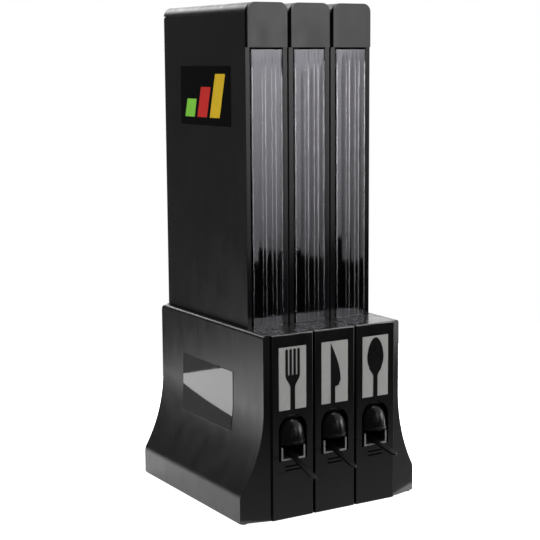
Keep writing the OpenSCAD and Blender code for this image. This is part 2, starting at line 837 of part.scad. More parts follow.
// A tube along a path
module tube(path, r) {
    n = len(path);
    points = [for (k = [0 : n - 1]) each ring(path, k, r)];
    walls = [for (k = [0 : n - 2]) for (j = [0 : 5]) let (m = (j + 1) % 6)
        each [[6 * k + j, 6 * k + m, 6 * k + 6 + m], [6 * k + j, 6 * k + 6 + m, 6 * k + 6 + j]]];
    ends = [for (j = [1 : 4]) each [[0, j + 1, j], [6 * n - 6, 6 * n - 6 + j, 6 * n - 5 + j]]];
    polyhedron(points, concat(walls, ends));
}

module lever_spring() {
    color(steel) tube(spring_path, wire_r);
}

// Slide that holds the stack's front end and lets one piece drop when it moves forward
module shuttle() {
    top = slide_z + slide_t;
    yoke_y = drive_y - drive_slot / 2 - prong_t;
    yoke_x = arm_w / 2 + 2 * loose;
    color(inner_black) difference() {
        union() {
            block([-slide_hw, slide_y0, slide_z], [slide_hw, slide_y1, top]);
            block([-drive_hw, yoke_y, slide_z], [drive_hw, slide_y0 + cut, top]);
            block([-drive_hw, yoke_y, slide_z],
                [drive_hw, drive_y + drive_slot / 2 + prong_t, drive_z + drive_r + prong_top]);
        }
        block([-drop_w / 2, drop_y, slide_z - cut], [drop_w / 2, slide_y1 - slot_end, top + cut]);
        block([-yoke_x, yoke_y - cut, slide_z - cut], [yoke_x, drive_y + arm_slot, base_h]);
        block([-pitch, drive_y - drive_slot / 2, slide_z + slide_t / 2],
            [pitch, drive_y + drive_slot / 2, base_h]);
    }
}

// Rails that guide the release slide and carry the hopper, screwed between two partitions
module guide_tray() {
    color(inner_black) {
        for (s = [-1, 1]) {
            block([s > 0 ? drop_w / 2 : -tray_hw, tray_y0, tray_z],
                [s > 0 ? tray_hw : -drop_w / 2, tray_y1, tray_z + tray_ledge]);
            block([s > 0 ? tray_hw - tray_wall : -tray_hw, tray_y0, tray_z],
                [s > 0 ? tray_hw : -tray_hw + tray_wall, tray_y1, tray_top]);
        }
        block([-tray_hw, tray_y0, tray_z - tie_h], [tray_hw, tray_y0 + tie_d, tray_z]);
        block([-tray_hw, tray_y1 - tray_end, tray_z], [tray_hw, tray_y1, tray_top]);
    }
}

// Sloping trough that brings the piece to the mouth, on two legs
module chute() {
    low0 = mouth_z - chute_wall;
    low1 = floor_z(chute_y1) - chute_wall;
    color(inner_black) {
        along_x(-chute_w / 2, chute_w) polygon([[mouth_y, low0], [chute_y1, low1],
            [chute_y1, low1 + chute_wall], [mouth_y, mouth_z]]);
        for (s = [-1, 1]) along_x(s > 0 ? chute_in : -chute_w / 2, chute_wall) polygon([[mouth_y, low0],
            [chute_y1, low1], [chute_y1, low1 + chute_h], [mouth_y, low0 + chute_h]]);
        for (y = leg_y) along_x(-chute_w / 2, chute_w) polygon([[y, plate_t], [y + leg_t, plate_t],
            [y + leg_t, floor_z(y + leg_t) - chute_wall / 2], [y, floor_z(y) - chute_wall / 2]]);
    }
}

// The piece of cutlery that waits in the mouth
module piece(i) {
    reach = handle_reach[i];
    droop = (reach + mouth_y) * tan(handle_droop[i]);
    low = mouth_z + loose;
    length = cutlery_len * cos(chute_slope);
    inner_y = length - reach;
    color(inner_black) intersection() {
        translate([0, -reach, 0]) linear_extrude(base_h) outline(i, length, head_w[i], handle_w);
        along_x(-pitch / 2, pitch) polygon([[-reach, low - droop], [mouth_y, low],
            [inner_y, floor_z(inner_y) + loose], [inner_y, floor_z(inner_y) + loose + cutlery_t],
            [mouth_y, low + cutlery_t], [-reach, low + cutlery_t - droop]]);
    }
}

// ---------- the assembly ----------

base_plate();
left_side_cover();
right_side_cover();
rear_cover();
partition_1();
partition_2();
partition_3();
partition_4();
tower_badge();
base_label();
feet();
cover_screws();
for (i = [0 : 2]) {
    at_column(i) hopper();
    at_column(i) window();
    at_column(i) lid();
    at_column(i) lid_pin();
    at_column(i) front_cover();
    at_column(i) lower_cover();
    at_column(i) label_plate();
    at_column(i) symbol(i);
    at_column(i) lever();
    at_column(i) lever_pin();
    at_column(i) lever_spring();
    at_column(i) shuttle();
    at_column(i) guide_tray();
    at_column(i) chute();
    at_column(i) piece(i);
}
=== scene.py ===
"""Looks of a three-column cutlery dispenser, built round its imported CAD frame.

Lengths are in metres. y grows to the back and z upwards. The pieces are placed from the boxes of
the CAD nodes that they stand for.
"""

import json
import math

import bmesh
import bpy
from mathutils import Matrix, Vector


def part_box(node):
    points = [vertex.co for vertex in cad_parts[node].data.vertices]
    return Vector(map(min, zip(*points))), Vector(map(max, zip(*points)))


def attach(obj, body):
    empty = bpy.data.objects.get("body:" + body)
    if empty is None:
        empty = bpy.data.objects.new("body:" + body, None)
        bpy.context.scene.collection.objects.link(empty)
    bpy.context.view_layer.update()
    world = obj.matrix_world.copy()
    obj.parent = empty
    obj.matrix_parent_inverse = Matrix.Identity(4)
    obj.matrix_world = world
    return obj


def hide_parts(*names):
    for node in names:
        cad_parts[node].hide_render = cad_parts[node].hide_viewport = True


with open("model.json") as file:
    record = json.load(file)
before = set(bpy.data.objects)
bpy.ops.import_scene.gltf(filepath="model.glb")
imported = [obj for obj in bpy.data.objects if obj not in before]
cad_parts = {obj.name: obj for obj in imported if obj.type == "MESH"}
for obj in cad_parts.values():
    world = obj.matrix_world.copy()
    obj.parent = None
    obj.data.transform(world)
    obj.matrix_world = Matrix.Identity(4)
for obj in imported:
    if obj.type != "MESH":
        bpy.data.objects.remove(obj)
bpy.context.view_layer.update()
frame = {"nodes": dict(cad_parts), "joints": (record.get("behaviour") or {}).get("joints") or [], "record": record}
record = frame["record"]

NAMES = ("fork", "knife", "spoon")
BODY_OF = {n: body for body, nodes in record["behaviour"]["bodies"].items() for n in nodes}
SLOT_OF = {part["node"]: part["material_slot"] for part in record["subparts"]}
FACE_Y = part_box("knife_front_cover")[0].y
HINGE_OF = {j["child"]: Vector(j["pos_m"]) for j in frame["joints"] if j["type"] == "hinge"}


def centre_x(name):
    """Middle of a column."""
    low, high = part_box(f"{name}_label_plate")
    return (low.x + high.x) / 2


# ---------- finishes ----------


def fill_range(node, from_low, from_high, to_low, to_high):
    """Sets the four limits of a map-range node."""
    node.inputs["From Min"].default_value = from_low
    node.inputs["From Max"].default_value = from_high
    node.inputs["To Min"].default_value = to_low
    node.inputs["To Max"].default_value = to_high


def shade(colour, share):
    """A darker or lighter shade of a colour."""
    return tuple(c * share for c in colour)


class Finish:
    """A material under construction, with its nodes."""

    def __init__(self, name, **inputs):
        self.material = bpy.data.materials.new(name)
        self.material.use_nodes = True
        self.tree = self.material.node_tree
        self.shader = self.tree.nodes["Principled BSDF"]
        for key, value in inputs.items():
            self.shader.inputs[key.replace("_", " ")].default_value = value
        self.place = self.add("ShaderNodeTexCoord").outputs["Object"]

    def add(self, kind, **settings):
        """A new node with its settings."""
        node = self.tree.nodes.new(kind)
        for key, value in settings.items():
            setattr(node, key, value)
        return node

    def link(self, source, target):
        self.tree.links.new(source, target)

    def stretched(self, x, y, z):
        """Object coordinates scaled along each axis."""
        node = self.add("ShaderNodeMapping")
        node.inputs["Scale"].default_value = (x, y, z)
        self.link(self.place, node.inputs["Vector"])
        return node.outputs["Vector"]

    def noise(self, scale, detail=2.0, rough=0.5, where=None):
        """A cloudy pattern."""
        node = self.add("ShaderNodeTexNoise")
        node.inputs["Scale"].default_value = scale
        node.inputs["Detail"].default_value = detail
        node.inputs["Roughness"].default_value = rough
        self.link(where or self.place, node.inputs["Vector"])
        return node.outputs["Fac"]

    def cells(self, scale):
        """A pattern of small pits."""
        node = self.add("ShaderNodeTexVoronoi")
        node.inputs["Scale"].default_value = scale
        self.link(self.place, node.inputs["Vector"])
        return node.outputs["Distance"]

    def range(self, value, low, high, start=0.35, stop=0.65):
        """Spreads part of a pattern over a range of values."""
        node = self.add("ShaderNodeMapRange")
        fill_range(node, start, stop, low, high)
        self.link(value, node.inputs["Value"])
        return node.outputs["Result"]

    def base_colour(self, value, dark, light, stops=(0.3, 0.7)):
        """Takes the base colour from dark to light along a pattern."""
        node = self.add("ShaderNodeValToRGB")
        for element, position, colour in zip(node.color_ramp.elements, stops, (dark, light)):
            element.position = position
            element.color = (*colour, 1)
        self.link(value, node.inputs["Fac"])
        self.link(node.outputs["Color"], self.shader.inputs["Base Color"])

    def roughness(self, value, low, high):
        """Takes the roughness from low to high along a pattern."""
        self.link(self.range(value, low, high), self.shader.inputs["Roughness"])

    def bump(self, *layers):
        """Stacks bumps given as (height, strength, distance)."""
        normal = None
        for height, strength, distance in layers:
            node = self.add("ShaderNodeBump")
            node.inputs["Strength"].default_value = strength
            node.inputs["Distance"].default_value = distance
            self.link(height, node.inputs["Height"])
            if normal:
                self.link(normal, node.inputs["Normal"])
            normal = node.outputs["Normal"]
        self.link(normal, self.shader.inputs["Normal"])


def moulded_plastic(name, colour, rough, grain=0.25, waves=0.12, specular=0.5):
    """Black moulded plastic: fine mould texture, faint flow clouding and slow waves."""
    finish = Finish(name, IOR=1.5, Specular_IOR_Level=specular)
    clouds = finish.noise(scale=14, detail=3)
    scuffs = finish.noise(scale=60, detail=4, rough=0.6, where=finish.stretched(1, 1, 0.4))
    swells = finish.noise(scale=9, detail=1)
    finish.base_colour(clouds, shade(colour, 0.8), shade(colour, 1.25))
    finish.roughness(scuffs, rough * 0.85, rough * 1.15)
    finish.bump((swells, waves, 0.0008), (finish.cells(scale=1500), grain, 0.00002))
    return finish.material


def clear_plastic(name):
    """Clear extruded sheet with faint upright draw lines."""
    finish = Finish(
        name, Roughness=0.03, IOR=1.49, Transmission_Weight=1.0, Specular_Tint=(0.95, 0.93, 1, 1)
    )
    lines = finish.noise(scale=260, detail=2, where=finish.stretched(1, 1, 0.004))
    swells = finish.noise(scale=7, detail=1, where=finish.stretched(1, 1, 0.3))
    finish.base_colour(lines, (0.80, 0.80, 0.86), (0.93, 0.93, 0.97), stops=(0.2, 0.8))
    finish.bump((lines, 0.05, 0.0001), (swells, 0.03, 0.0004))
    return finish.material


def printed(name, colour, rough):
    """Printed plate or film with a faint fibre."""
    finish = Finish(name, IOR=1.46)
    fibre = finish.noise(scale=700, detail=3, rough=0.6, where=finish.stretched(1, 1, 0.15))
    finish.base_colour(fibre, shade(colour, 0.93), shade(colour, 1.05))
    finish.roughness(finish.noise(scale=40), rough * 0.9, rough * 1.1)
    finish.bump((fibre, 0.1, 0.00003))
    return finish.material


def glossy_film(name, colour, rough, ior, waves=0.2):
    """Glossy film or lacquered panel, slightly wavy."""
    finish = Finish(name, IOR=ior)
    finish.base_colour(finish.noise(scale=30, detail=3), shade(colour, 0.9), shade(colour, 1.1))
    finish.roughness(finish.noise(scale=90, detail=3), rough * 0.8, rough * 1.3)
    finish.bump((finish.noise(scale=22), waves, 0.0004))
    return finish.material


def bright_steel(name):
    """Zinc-plated steel with turning marks."""
    finish = Finish(name, Metallic=1.0)
    marks = finish.noise(scale=900, detail=3, rough=0.6, where=finish.stretched(1, 0.05, 1))
    finish.base_colour(marks, (0.46, 0.47, 0.49), (0.62, 0.63, 0.66))
    finish.roughness(marks, 0.2, 0.38)
    finish.bump((marks, 0.15, 0.00003))
    return finish.material


def foot_rubber(name):
    """Matt black rubber with fine pores."""
    finish = Finish(name, IOR=1.5)
    pores = finish.noise(scale=1200)
    finish.base_colour(pores, (0.014, 0.014, 0.014), (0.03, 0.03, 0.03))
    finish.roughness(finish.noise(scale=150), 0.6, 0.8)
    finish.bump((pores, 0.3, 0.00005))
    return finish.material


# By the frame's material slots
FINISHES = {
    "body_black": moulded_plastic(
        "satin_black_abs", (0.0065, 0.0065, 0.007), rough=0.33, specular=0.42
    ),
    "inner_black": moulded_plastic("plain_black_abs", (0.007, 0.007, 0.0075), rough=0.45),
    "lever_black": moulded_plastic(
        "polished_black_abs", (0.003, 0.003, 0.0035), rough=0.24, grain=0.05, waves=0.03,
        specular=0.13,
    ),
    "cutlery_black": moulded_plastic(
        "cutlery_black_ps", (0.003, 0.003, 0.003), rough=0.35, grain=0.05, waves=0.03, specular=0.2
    ),
    "clear_plastic": clear_plastic("clear_acrylic"),
    "label_grey": printed("label_grey_print", (0.36, 0.36, 0.35), rough=0.42),
    "symbol_black": moulded_plastic(
        "symbol_black_print", (0.003, 0.003, 0.003), rough=0.3, grain=0.1, specular=0.15
    ),
    "badge_black": glossy_film("badge_black_lacquer", (0.002, 0.002, 0.0025), rough=0.12, ior=1.2),
    "side_label_grey": glossy_film(
        "side_label_film", (0.03, 0.03, 0.031), rough=0.03, ior=1.9, waves=0.05
    ),
    "steel": bright_steel("zinc_steel"),
    "foot_rubber": foot_rubber("foot_rubber"),
}

# For pieces or faces that differ from their slot's finish
GLOSSY_BLACK = moulded_plastic(
    "glossy_front_black", (0.0045, 0.0045, 0.005), rough=0.16, grain=0.08, waves=0.06
)
LID_BLACK = moulded_plastic(
    "lid_black_abs", (0.008, 0.0078, 0.0078), rough=0.32, grain=0.35, waves=0.02, specular=0.43
)
JAMB_BLACK = moulded_plastic(
    "jamb_black_abs", (0.004, 0.004, 0.005), rough=0.12, grain=0.04, waves=0.03, specular=0.24
)
# Darker and nearly without gloss: painted shade for the flanks inside the seams between the covers
SEAM_PAINTED_SHADE = moulded_plastic(
    "seam_painted_shade_abs", (0.002, 0.002, 0.002), rough=0.5, grain=0.2, waves=0.02, specular=0.04
)
LEDGE_BLACK = moulded_plastic(
    "ledge_black_abs", (0.0045, 0.0045, 0.005), rough=0.26, grain=0.2, waves=0.03, specular=0.2
)
# Pale grey on the forward faces of the chutes' mouths: a painted highlight for the light their edges catch
RIM_PAINTED_HIGHLIGHT = printed("rim_painted_highlight", (0.22, 0.22, 0.22), rough=0.25)
BAR_GREEN = printed("bar_green", (0.27, 0.75, 0.07), rough=0.35)
BAR_RED = printed("bar_red", (0.72, 0.03, 0.025), rough=0.35)
BAR_AMBER = printed("bar_amber", (0.88, 0.58, 0.02), rough=0.35)


# ---------- making pieces ----------

CREASE_ANGLE = math.radians(35)


def smooth(bm):
    """Smooth shading, with creases where faces meet at a sharper angle."""
    for face in bm.faces:
        face.smooth = True
    for edge in bm.edges:
        edge.smooth = edge.is_manifold and edge.calc_face_angle(math.pi) < CREASE_ANGLE


def add_piece(name, bm, finishes, body, *nodes, slot=None):
    """Makes a mesh the finished piece of a body, in place of the CAD nodes given."""
    smooth(bm)
    mesh = bpy.data.meshes.new(name)
    bm.to_mesh(mesh)
    bm.free()
    for material in finishes:
        mesh.materials.append(material)
    piece = bpy.data.objects.new(name, mesh)
    bpy.context.scene.collection.objects.link(piece)
    weighted = piece.modifiers.new("even_shading", "WEIGHTED_NORMAL")
    weighted.keep_sharp = True
    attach(piece, body)
    if nodes:
        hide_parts(*nodes)
    return piece


def bevel(bm, edges, radius, segments):
    """Rounds edges."""
    bmesh.ops.bevel(
        bm, geom=edges, offset=radius, offset_type="OFFSET", segments=segments, profile=0.5,
        affect="EDGES", material=-1, clamp_overlap=True,
    )


def round_edges(bm, radius, segments=3, over=40, where=None):
    """Rounds the edges at which faces turn by more than so many degrees."""
    bevel(bm, [
        e for e in bm.edges
        if e.is_manifold and e.calc_face_angle(0) > math.radians(over) and (where is None or where(e))
    ], radius, segments)


def tidy(bm):
    """Merges doubled corners and turns all faces outward."""
    bmesh.ops.remove_doubles(bm, verts=bm.verts, dist=1e-6)
    bmesh.ops.recalc_face_normals(bm, faces=bm.faces)


def copy_of(node):
    """A CAD node's mesh, with its loose triangles joined into whole faces."""
    bm = bmesh.new()
    bm.from_mesh(frame["nodes"][node].data)
    bmesh.ops.remove_doubles(bm, verts=bm.verts, dist=2e-6)
    bmesh.ops.dissolve_limit(
        bm, angle_limit=math.radians(0.4), verts=bm.verts, edges=bm.edges,
        use_dissolve_boundaries=False,
    )
    return bm


# The covers' upright edges are keen this far behind their front
KEEN_DEPTH = 0.0035
# The flanks of the seams between the covers get painted shade this deep, and this far to each side
SEAM_DEPTH = 0.02
SEAM_REACH = 0.0022
SEAMS = [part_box(f"{name}_lower_cover")[side].x for name in NAMES for side in (0, 1)]


def is_keen(edge):
    """Whether an edge stands upright at the covers' front."""
    start, end = (vert.co for vert in edge.verts)
    is_upright = abs(start.z - end.z) > abs(start.x - end.x)
    return max(start.y, end.y) < FACE_Y + KEEN_DEPTH and is_upright


def is_in_seam(face):
    """Whether a face is a flank of a seam between the covers."""
    place = face.calc_center_median()
    is_near = min(abs(place.x - seam) for seam in SEAMS) < SEAM_REACH
    return abs(face.normal.x) > 0.4 and is_near and place.y < FACE_Y + SEAM_DEPTH


def dress(
    node, finish=None, radius=0.0004, segments=2, over=40, second=None, where=None, reshape=None,
    keen=0,
):
    """Stands in for a CAD node whose shape is right, with rounded edges.

    Faces for which where(face) holds get the second finish. With a radius keen, upright edges in
    the plane of the covers' faces get that radius, and the flanks along the seams a painted shade.
    """
    bm = copy_of(node)
    if reshape:
        reshape(bm, *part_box(node))
    if keen:
        round_edges(bm, keen, 2, over, is_keen)
        round_edges(bm, radius, segments, over, lambda edge: not is_keen(edge))
    else:
        round_edges(bm, radius, segments, over)
    finishes = [finish or FINISHES[SLOT_OF[node]]]
    for other, test in ((second, where), (SEAM_PAINTED_SHADE if keen else None, is_in_seam)):
        if other:
            finishes.append(other)
            for face in bm.faces:
                if test(face):
                    face.material_index = len(finishes) - 1
    return add_piece(f"{node}_dressed", bm, finishes, BODY_OF[node], node)


def add_box(bm, low, high):
    """A box from its low corner to its high corner."""
    low, high = Vector(low), Vector(high)
    place = Matrix.Translation((low + high) / 2) @ Matrix.Diagonal((*(high - low), 1))
    bmesh.ops.create_cube(bm, size=1, matrix=place)


def add_rod(bm, start, end, radius, sides):
    """A rod between two points."""
    run = end - start
    place = Matrix.Translation((start + end) / 2) @ run.to_track_quat("Z", "Y").to_matrix().to_4x4()
    bmesh.ops.create_cone(
        bm, cap_ends=True, segments=sides, radius1=radius, radius2=radius, depth=run.length,
        matrix=place,
    )


def add_bar(bm, span, start, end, thick):
    """A straight bar between two points of the side view, over a span of x."""
    run = end - start
    middle = (start + end) / 2
    middle.x = sum(span) / 2
    verts = bmesh.ops.create_cube(bm, size=1)["verts"]
    bmesh.ops.transform(
        bm, verts=verts,
        matrix=Matrix.Translation(middle) @ Matrix.Rotation(-math.atan2(run.y, run.z), 4, "X")
        @ Matrix.Diagonal((span[1] - span[0], thick, math.hypot(run.y, run.z), 1)),
    )


def cut(bm, point, normal):
    """Cuts away what lies past a plane."""
    bmesh.ops.bisect_plane(
        bm, geom=bm.verts[:] + bm.edges[:] + bm.faces[:], plane_co=point, plane_no=normal,
        clear_outer=True,
    )


def join(bm, other):
    """Adds another mesh under construction to this one."""
    scratch = bpy.data.meshes.new("scratch")
    other.to_mesh(scratch)
    other.free()
    bm.from_mesh(scratch)
    bpy.data.meshes.remove(scratch)


# ---------- stage ----------

CAMERA_PLACE = Vector((-0.9351, -1.5053, 0.56185))
AZIMUTH, ELEVATION, ROLL = (math.radians(a) for a in (-31.139, 8.619, -0.39))
LENS = 91.67
SENSOR = 36
VIEW_DEPTH = 50


def add_camera():
    """The photo's view, as solved from the columns' edges."""
    back = Vector((
        math.sin(AZIMUTH) * math.cos(ELEVATION),
        -math.cos(AZIMUTH) * math.cos(ELEVATION),
        math.sin(ELEVATION),
    ))
    right = (-back).cross(Vector((0, 0, 1))).normalized()
    up = right.cross(-back)
    right, up = (
        math.cos(ROLL) * right + math.sin(ROLL) * up,
        -math.sin(ROLL) * right + math.cos(ROLL) * up,
    )
    data = bpy.data.cameras.new("photo_camera")
    data.lens = LENS
    data.sensor_width = SENSOR
    data.clip_end = VIEW_DEPTH
    camera = bpy.data.objects.new("photo_camera", data)
    camera.matrix_world = Matrix((right, up, back)).transposed().to_4x4()
    camera.location = CAMERA_PLACE
    bpy.context.scene.collection.objects.link(camera)
    bpy.context.scene.camera = camera


def stage_mesh(name, bm, material):
    """Makes a mesh part of the stage."""
    mesh = bpy.data.meshes.new(name)
    bm.to_mesh(mesh)
    bm.free()
    mesh.materials.append(material)
    thing = bpy.data.objects.new(name, mesh)
    bpy.context.scene.collection.objects.link(thing)
    return thing


def sheet_of(corners):
    """A flat sheet between its corners."""
    bm = bmesh.new()
    bm.faces.new([bm.verts.new(corner) for corner in corners])
    return bm


def glowing(name, span, glow, axis="Z"):
    """A shining surface that grows brighter along an axis, from one end of a span to the other."""
    material = bpy.data.materials.new(name)
    material.use_nodes = True
    tree = material.node_tree
    tree.nodes.clear()
    place = tree.nodes.new("ShaderNodeTexCoord")
    split = tree.nodes.new("ShaderNodeSeparateXYZ")
    rise = tree.nodes.new("ShaderNodeMapRange")
    emission = tree.nodes.new("ShaderNodeEmission")
    fill_range(rise, *span, *glow)
    tree.links.new(place.outputs["Object"], split.inputs[0])
    tree.links.new(split.outputs[axis], rise.inputs["Value"])
    tree.links.new(rise.outputs["Result"], emission.inputs["Strength"])
    tree.links.new(emission.outputs[0], tree.nodes.new("ShaderNodeOutputMaterial").inputs[0])
    return material


# The floor's ends to the left and right, and to the front and back with the line between its parts
FLOOR_X = (-1.3, 1.7)
FLOOR_Y = (-0.9, FACE_Y - 0.004, 0.68)
FLOOR_GLOW = 1.0


def add_floor():
    """A pale table top. The object doesn't mirror the part in front of it, as in the photo."""
    finish = Finish(
        "pale_floor", IOR=1.3, Roughness=0.9, Emission_Color=(1, 1, 1, 1),
        Emission_Strength=FLOOR_GLOW,
    )
    finish.base_colour(finish.noise(scale=3), (0.90, 0.90, 0.90), (0.94, 0.94, 0.94))
    left, right = FLOOR_X
    for name, (near, far) in (("floor", FLOOR_Y[1:]), ("floor_front", FLOOR_Y[:2])):
        corners = ((left, near, 0), (right, near, 0), (right, far, 0), (left, far, 0))
        part = stage_mesh(name, sheet_of(corners), finish.material)
        part.visible_glossy = part.visible_diffuse = part.visible_shadow = name == "floor"


SHEEN_X = (-0.14, 0.75)
SHEEN_Z = 0.0003
# Its glow grows from the first y to the second
SHEEN_GLOW_Y = (-0.62, -0.16)
SHEEN_GLOW = (0.03, 0.36)


def add_sheen():
    """What the covers mirror of the table top in front of them."""
    left, right = SHEEN_X
    near, far = FLOOR_Y[1], FLOOR_Y[0]
    corners = [(x, y, SHEEN_Z) for x, y in ((left, far), (right, far), (right, near), (left, near))]
    glow = glowing("floor_sheen_light", SHEEN_GLOW_Y, SHEEN_GLOW, "Y")
    sheen = stage_mesh("floor_sheen", sheet_of(corners), glow)
    sheen.visible_camera = sheen.visible_diffuse = sheen.visible_shadow = False


OBJECT_MIDDLE = Vector((0, 0, 0.4))


def towards(azimuth, elevation, distance):
    """A point seen from the object; the azimuth runs from the front (-90) to the back (90)."""
    azimuth, elevation = math.radians(azimuth), math.radians(elevation)
    away = Vector((
        math.cos(azimuth) * math.cos(elevation),
        math.sin(azimuth) * math.cos(elevation),
        math.sin(elevation),
    ))
    return OBJECT_MIDDLE + away * distance


def add_area(name, place, aim, size, radiance, glossy=True):
    """A soft box that the camera doesn't see."""
    data = bpy.data.lights.new(name, "AREA")
    data.shape = "RECTANGLE"
    data.size, data.size_y = size
    data.energy = radiance * math.pi * size[0] * size[1]
    light = bpy.data.objects.new(name, data)
    light.location = place
    light.rotation_euler = (Vector(aim) - Vector(place)).to_track_quat("-Z", "Y").to_euler()
    light.visible_camera = False
    light.visible_glossy = glossy
    bpy.context.scene.collection.objects.link(light)


WALL_MIDDLE = (0, -0.1)
WALL_STEPS = 12


def add_wall(name, azimuths, low, high, heights, glow):
    """A curved soft box round the object, from low to high, both given as (distance, height).

    Its glow grows from the first of the heights to the second.
    """
    start, stop = (math.radians(azimuth) for azimuth in azimuths)
    bm = bmesh.new()
    ends = [
        bm.verts.new((
            WALL_MIDDLE[0] + away * math.cos(start), WALL_MIDDLE[1] + away * math.sin(start), z
        ))
        for away, z in (low, high)
    ]
    edge = bm.edges.new(ends)
    bmesh.ops.spin(
        bm, geom=[*ends, edge], cent=(*WALL_MIDDLE, 0), axis=(0, 0, 1), angle=stop - start,
        steps=WALL_STEPS, use_duplicate=False,
    )
    wall = stage_mesh(name, bm, glowing(f"{name}_light", heights, glow))
    wall.visible_camera = False


# The point that the middle window mirrors, and the direction in which it lies
KEY_MIDDLE = Vector((1.081, -1.732, 0.321))
KEY_AIM = Vector((0.541, -0.839, -0.065))
# The panel's corners, to the right and up from that point
KEY_CORNERS = ((-0.13, -0.212), (0.147, -0.299), (0.47, -0.26), (0.47, 0.95), (-0.20, 0.95))
KEY_HEIGHTS = (0.12, 1.2)
KEY_GLOW = (1.25, 7.2)


def add_key_panel():
    """A bright panel at the right front, whose lower edge the windows mirror."""
    right = KEY_AIM.cross(Vector((0, 0, 1))).normalized()
    up = right.cross(KEY_AIM).normalized()
    corners = [KEY_MIDDLE + right * u + up * v for u, v in KEY_CORNERS]
    glow = glowing("key_panel_light", KEY_HEIGHTS, KEY_GLOW)
    panel = stage_mesh("key_panel", sheet_of(corners), glow)
    panel.visible_camera = False


# How bright the world is at the front and at the back, for all but the camera, and how much
# brighter at the left front
WORLD_GLOW = (0.012, 0.11)
LEFT_FILL = 0.12


def add_world():
    """White for the camera; dim for all else, and dimmest at the right front."""
    world = bpy.data.worlds.new("studio")
    world.use_nodes = True
    tree = world.node_tree
    tree.nodes.clear()
    way = tree.nodes.new("ShaderNodeTexCoord")
    split = tree.nodes.new("ShaderNodeSeparateXYZ")
    tree.links.new(way.outputs["Generated"], split.inputs[0])

    def graded(axis, *limits):
        node = tree.nodes.new("ShaderNodeMapRange")
        fill_range(node, *limits)
        tree.links.new(split.outputs[axis], node.inputs["Value"])
        return node.outputs["Result"]

    fill = tree.nodes.new("ShaderNodeMath")
    fill.operation = "MULTIPLY_ADD"
    from_left = graded("X", 0.35, -0.1, 0, LEFT_FILL)
    from_front = graded("Y", 0.3, -0.3, 0, 1)
    base = graded("Y", -0.6, 0.7, *WORLD_GLOW)
    for socket, source in zip(fill.inputs, (from_left, from_front, base)):
        tree.links.new(source, socket)
    path = tree.nodes.new("ShaderNodeLightPath")
    seen, lit = (tree.nodes.new("ShaderNodeBackground") for _ in range(2))
    seen.inputs["Color"].default_value = (1, 1, 1, 1)
    lit.inputs["Color"].default_value = (1, 1, 1, 1)
    tree.links.new(fill.outputs[0], lit.inputs["Strength"])
    mix = tree.nodes.new("ShaderNodeMixShader")
    tree.links.new(path.outputs["Is Camera Ray"], mix.inputs[0])
    tree.links.new(lit.outputs[0], mix.inputs[1])
    tree.links.new(seen.outputs[0], mix.inputs[2])
    tree.links.new(mix.outputs[0], tree.nodes.new("ShaderNodeOutputWorld").inputs[0])
    bpy.context.scene.world = world


bpy.context.scene.view_settings.view_transform = "Standard"
add_camera()
add_world()
add_floor()
add_sheen()
add_key_panel()
# From above, for the ledge and the lids' tops
add_area("top_light", (0.95, 0.25, 2.3), aim=(0.6, 0.15, 0), size=(1.7, 1.5), radiance=8.0)
# High round the front, for the levers and all that leans back
add_wall("front_wall", (-66, 8), low=(2.4, 0.62), high=(1.2, 2.1), heights=(0, 1), glow=(1.7, 1.7))
# Behind the object, for what its left side and its roundings mirror; the left fill isn't mirrored
add_area(
    "back_panel_left", towards(93, 25, 3), aim=(0, 0, 0.4), size=(1.0, 0.95), radiance=4.5
)
add_area(
    "back_panel_right", towards(60, 14, 3), aim=(0, 0, 0.4), size=(1.7, 1.2), radiance=2.2
)
add_area(
    "left_fill", towards(-135, 35, 2.4), aim=(0, 0, 0.3), size=(1.7, 1.2), radiance=3.4,
    glossy=False,
)
add_area(
    "back_panel_high", towards(92, 33, 3), aim=(0, 0, 0.5), size=(2.4, 1.1), radiance=1.6
)
# For the steep sides of the windows' ribs
add_wall(
    "rib_wall", (-30, -6), low=(2.2, -0.24), high=(2.2, 0.62), heights=(-0.12, 0.56),
    glow=(1.6, 15.0),
)
# For a view from straight ahead
add_wall(
    "front_fill", (-102, -78), low=(2.6, 0.05), high=(2.6, 1.15), heights=(0, 1),
    glow=(0.55, 0.55),
)


# ---------- columns ----------

WINDOW_HEADROOM = 0.0015
SHEET_THICK = 0.0018
SHEET_HALF_WIDTH = 0.0223
SHEET_GRID = (200, 60)
SHEET_BOW = 0.00005
# The sheet's upper end curls back over this length, by this much
CURL_LENGTH, CURL_DEPTH = 0.003, 0.0004
# The ribs' crests, from the sheet's middle; each rises gently from the left and falls steeply
RIBS = (-0.0206, -0.0066, -0.0020, 0.0070, 0.0126, 0.0213)
RIB_OUT, RIB_RISE, RIB_FALL = 0.0004, 0.0058, 0.0011
# The ribs fade over this length at the top, where those on the right run a little aslant
RIB_FADE, FADE_POWER, RIB_SLANT = 0.034, 0.6, 0.0016


def sheet_front(x, from_top):
    """How far a window's front stands out, at a place from its middle and its top."""
    strength = min(1, max(0, from_top / RIB_FADE)) ** FADE_POWER
    height = 0
    for rib in RIBS:
        past = x - rib - RIB_SLANT * (1 - strength) * (rib > 0) + RIB_FALL / 2
        height = max(height, 1 + past / RIB_RISE if past < 0 else 1 - past / RIB_FALL)
    curl = max(0, 1 - from_top / CURL_LENGTH)
    bow = SHEET_BOW * (1 - (x / SHEET_HALF_WIDTH) ** 2)
    return RIB_OUT * height * strength + bow - CURL_DEPTH * curl ** 2


